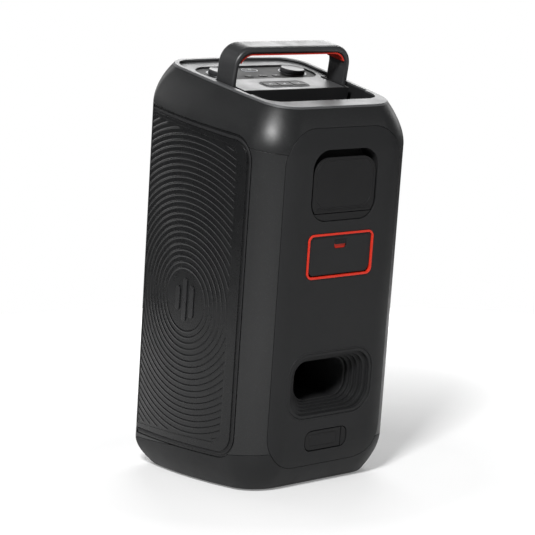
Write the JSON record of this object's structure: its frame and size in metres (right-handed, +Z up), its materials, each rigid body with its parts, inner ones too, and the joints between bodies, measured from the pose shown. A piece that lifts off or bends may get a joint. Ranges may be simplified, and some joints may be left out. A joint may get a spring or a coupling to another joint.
{
  "type": "party speaker",
  "caption": "Tall portable loudspeaker that leans back, with grooved sides, folding top handle, control deck, rear bass port and covered sockets.",
  "frame": {"origin": "on the floor, under the middle of the bounding box", "axes": "+Z up; the front grille faces -Y and the sockets face +Y; +X is the right-hand side seen from the front"},
  "size_m": [0.291, 0.3359, 0.6248],
  "materials": {
    "body_metallic": "fine metallic satin coating, near black",
    "body_matte": "fine matte grain, near black",
    "deck_grey": "grey metallic satin coating",
    "panel_gloss": "polished black",
    "pocket_dark": "dark matte",
    "knob": "satin dark grey",
    "key": "satin dark grey",
    "handle_shell": "fine metallic satin coating, dark grey",
    "accent": "soft orange-red",
    "soft_cover": "soft matte black",
    "rubber_feet": "matte black rubber",
    "grille_metal": "perforated steel, black powder coat",
    "light_ring": "milky translucent diffuser",
    "badge": "polished black",
    "baffle_wood": "pressed wood fibre board, dyed",
    "basket": "black powder coat",
    "magnet": "dark sintered ferrite",
    "surround": "matte black rubber",
    "cone": "pressed polymer",
    "tweeter": "satin black",
    "tray": "fine matte grain",
    "socket": "black, with metal contacts",
    "contact": "bright",
    "pack": "matte dark grey",
    "board": "green solder mask",
    "heatsink": "bare extrusion",
    "steel": "bare steel"
  },
  "bodies": {
    "cabinet": {"amplifier_board": "board", "amplifier_heatsink": "heatsink", "base_cap": "body_matte", "bass_port": "body_matte", "battery_bay": "tray", "battery_door_seal": "accent", "battery_pack": "pack", "brace_shelf": "baffle_wood", "cabinet_shell": "body_metallic", "control_board": "board", "control_panel": "panel_gloss", "cover_hinge_strips": "soft_cover", "deck_panel": "deck_grey", "deck_rim": "deck_grey", "driver_screws": "steel", "front_baffle": "baffle_wood", "front_grille": "grille_metal", "handle_pins": "steel", "handle_pocket": "pocket_dark", "knob_encoders": "socket", "light_rings": "light_ring", "mains_inlet": "socket", "mains_pins": "contact", "mains_tray": "tray", "play_pad": "panel_gloss", "power_supply": "board", "rear_panel": "body_matte", "rubber_feet": "rubber_feet", "side_badges": "badge", "side_panel_left": "body_metallic", "side_panel_right": "body_metallic", "socket_plate": "tray", "socket_tray": "tray", "sockets": "socket", "supply_frame": "tray", "top_cap": "body_metallic", "tweeter_left": "tweeter", "tweeter_right": "tweeter", "woofer_baskets": "basket", "woofer_magnets": "magnet", "woofer_surrounds": "surround"},
    "handle": {"handle_frame": "handle_shell", "handle_grip": "accent"},
    "left_knob": {"knob_left": "knob"},
    "right_knob": {"knob_right": "knob"},
    "power_key": {"power_button": "key"},
    "light_key": {"light_button": "key"},
    "pairing_key": {"pairing_button": "key"},
    "boost_key": {"boost_button": "key"},
    "back_key": {"track_back_button": "key"},
    "play_key": {"play_button": "key"},
    "next_key": {"track_next_button": "key"},
    "socket_flap": {"socket_cover": "soft_cover"},
    "door": {"battery_door": "body_matte", "latch_bed": "accent"},
    "latch": {"battery_latch": "key"},
    "mains_flap": {"mains_cover": "soft_cover"},
    "upper_cone": {"woofer_cone_upper": "cone"},
    "lower_cone": {"woofer_cone_lower": "cone"}
  },
  "joints": [
    {"name": "handle_fold", "type": "hinge", "parent": "cabinet", "child": "handle", "pos_m": [0, 0.02006, 0.54992], "axis": [-1, 0, 0], "range_deg": [0, 90]},
    {"name": "left_knob_turn", "type": "hinge", "parent": "cabinet", "child": "left_knob", "pos_m": [-0.065, -0.03325, 0.58305], "axis": [0, 0.2297, 0.9733], "continuous": true},
    {"name": "right_knob_turn", "type": "hinge", "parent": "cabinet", "child": "right_knob", "pos_m": [0.065, -0.03325, 0.58305], "axis": [0, 0.2297, 0.9733], "continuous": true},
    {"name": "power_press", "type": "slide", "parent": "cabinet", "child": "power_key", "axis": [0, -0.2297, -0.9733], "range_m": [0, 0.0008], "stiffness_N_per_m": 400},
    {"name": "light_press", "type": "slide", "parent": "cabinet", "child": "light_key", "axis": [0, -0.2297, -0.9733], "range_m": [0, 0.0008], "stiffness_N_per_m": 400},
    {"name": "pairing_press", "type": "slide", "parent": "cabinet", "child": "pairing_key", "axis": [0, -0.2297, -0.9733], "range_m": [0, 0.0008], "stiffness_N_per_m": 400},
    {"name": "boost_press", "type": "slide", "parent": "cabinet", "child": "boost_key", "axis": [0, -0.2297, -0.9733], "range_m": [0, 0.0008], "stiffness_N_per_m": 400},
    {"name": "back_press", "type": "slide", "parent": "cabinet", "child": "back_key", "axis": [0, -0.2297, -0.9733], "range_m": [0, 0.0008], "stiffness_N_per_m": 400},
    {"name": "play_press", "type": "slide", "parent": "cabinet", "child": "play_key", "axis": [0, -0.2297, -0.9733], "range_m": [0, 0.0008], "stiffness_N_per_m": 400},
    {"name": "next_press", "type": "slide", "parent": "cabinet", "child": "next_key", "axis": [0, -0.2297, -0.9733], "range_m": [0, 0.0008], "stiffness_N_per_m": 400},
    {"name": "socket_flap_swing", "type": "hinge", "parent": "cabinet", "child": "socket_flap", "pos_m": [0, 0.15675, 0.39484], "axis": [-1, 0, 0], "range_deg": [0, 100]},
    {"name": "door_swing", "type": "hinge", "parent": "cabinet", "child": "door", "pos_m": [0, 0.1479, 0.30829], "axis": [-1, 0, 0], "range_deg": [0, 90]},
    {"name": "latch_slide", "type": "slide", "parent": "door", "child": "latch", "axis": [0, -0.1063, -0.9943], "range_m": [0, 0.0045], "stiffness_N_per_m": 200},
    {"name": "mains_flap_swing", "type": "hinge", "parent": "cabinet", "child": "mains_flap", "pos_m": [-0.0258, 0.12196, 0.0693], "axis": [0, 0.1063, 0.9943], "range_deg": [0, 110]},
    {"name": "upper_cone_travel", "type": "slide", "parent": "cabinet", "child": "upper_cone", "axis": [0, 0.9943, -0.1063], "range_m": [-0.003, 0.003], "stiffness_N_per_m": 2000},
    {"name": "lower_cone_travel", "type": "slide", "parent": "cabinet", "child": "lower_cone", "axis": [0, 0.9943, -0.1063], "range_m": [-0.003, 0.003], "stiffness_N_per_m": 2000}
  ]
}
